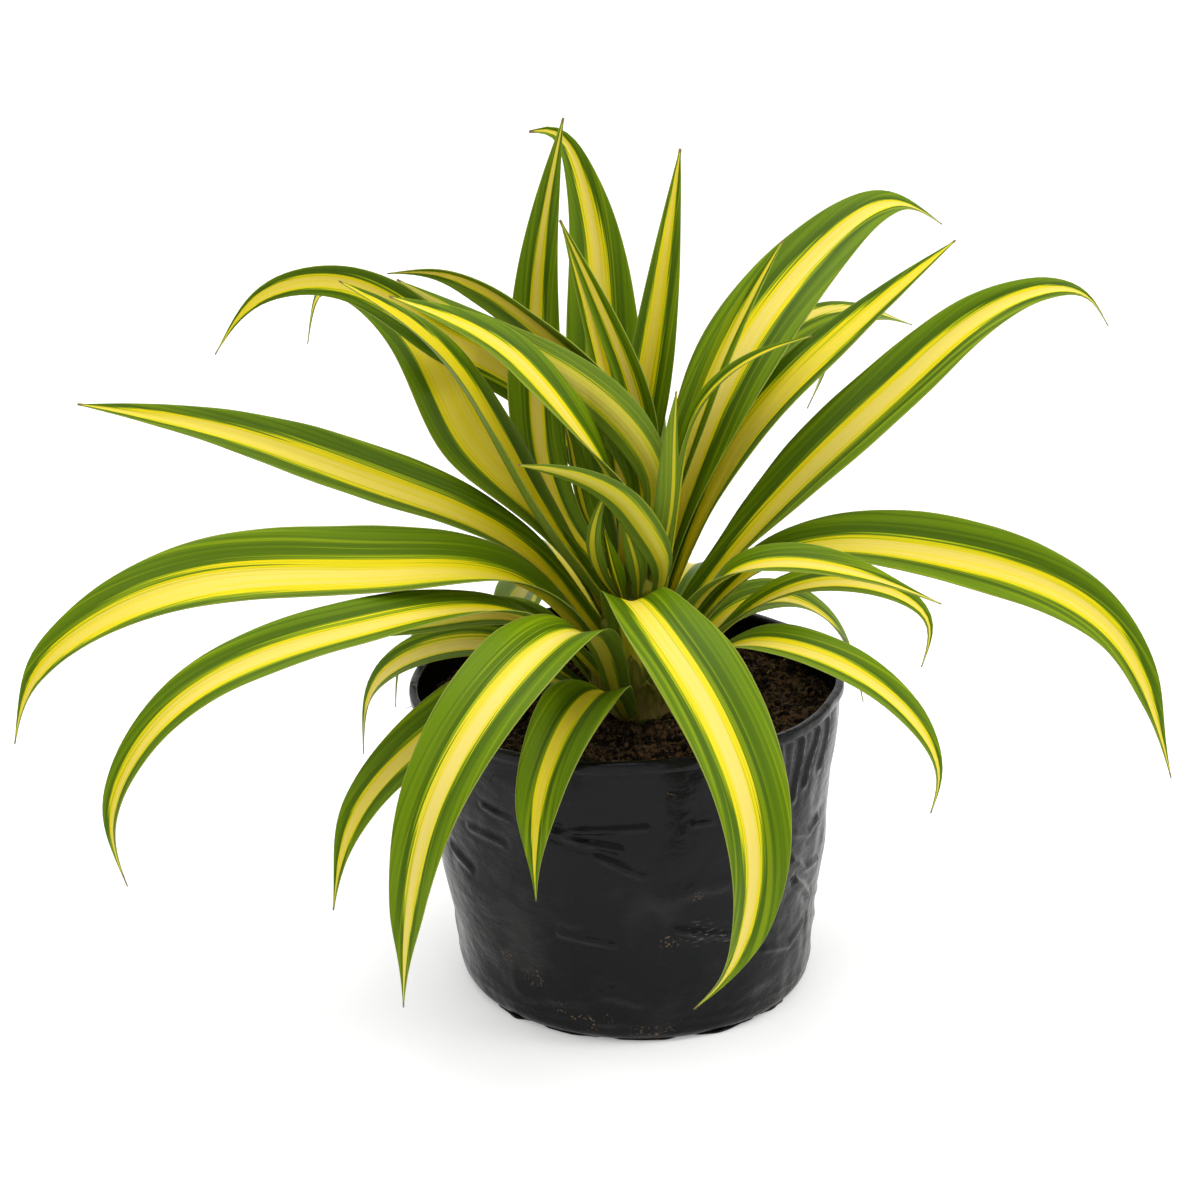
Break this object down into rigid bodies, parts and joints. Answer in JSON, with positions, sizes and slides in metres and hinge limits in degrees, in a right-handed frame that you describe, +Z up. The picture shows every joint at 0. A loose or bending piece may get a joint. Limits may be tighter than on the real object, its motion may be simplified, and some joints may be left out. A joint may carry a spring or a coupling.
{
  "type": "potted spider plant",
  "caption": "Potted spider plant: a rosette of broad arching leaves with yellow centre stripes and green margins, growing from a short sheathed crown in a soil-filled black film grow bag.",
  "frame": {"origin": "middle of the grow bag's flat underside, on the surface that it stands on", "axes": "+Z up, -Y towards the plant's front, +X to its right, along which the leaves spread widest"},
  "size_m": [0.3916, 0.3009, 0.2941],
  "materials": {
    "black_film": "satin film",
    "potting_mix": "rough, fibrous",
    "crown_sheaths": "satin",
    "striped_leaf": "satin"
  },
  "bodies": {
    "root": {"crown": "crown_sheaths", "grow_bag": "black_film", "leaf_back": "striped_leaf", "leaf_back_hanging": "striped_leaf", "leaf_back_left": "striped_leaf", "leaf_back_left_low": "striped_leaf", "leaf_back_left_short": "striped_leaf", "leaf_back_low": "striped_leaf", "leaf_back_right_arch": "striped_leaf", "leaf_back_right_hook": "striped_leaf", "leaf_back_right_low": "striped_leaf", "leaf_back_upper": "striped_leaf", "leaf_bud": "striped_leaf", "leaf_folded_back": "striped_leaf", "leaf_folded_front": "striped_leaf", "leaf_front_arch": "striped_leaf", "leaf_front_left": "striped_leaf", "leaf_front_right": "striped_leaf", "leaf_front_short": "striped_leaf", "leaf_heart_back": "striped_leaf", "leaf_heart_front": "striped_leaf", "leaf_heart_left": "striped_leaf", "leaf_heart_right": "striped_leaf", "leaf_inner_left": "striped_leaf", "leaf_left_arch": "striped_leaf", "leaf_left_broad": "striped_leaf", "leaf_left_front": "striped_leaf", "leaf_left_long": "striped_leaf", "leaf_left_low": "striped_leaf", "leaf_left_narrow": "striped_leaf", "leaf_left_pale": "striped_leaf", "leaf_left_second_arch": "striped_leaf", "leaf_left_straight": "striped_leaf", "leaf_left_wide": "striped_leaf", "leaf_right_arch": "striped_leaf", "leaf_right_high": "striped_leaf", "leaf_right_hook": "striped_leaf", "leaf_right_long": "striped_leaf", "leaf_right_low": "striped_leaf", "leaf_right_mid": "striped_leaf", "leaf_right_slim": "striped_leaf", "leaf_right_straight": "striped_leaf", "leaf_right_thin": "striped_leaf", "leaf_tall_back": "striped_leaf", "leaf_tall_left": "striped_leaf", "leaf_tall_right": "striped_leaf", "soil": "potting_mix"}
  },
  "joints": []
}
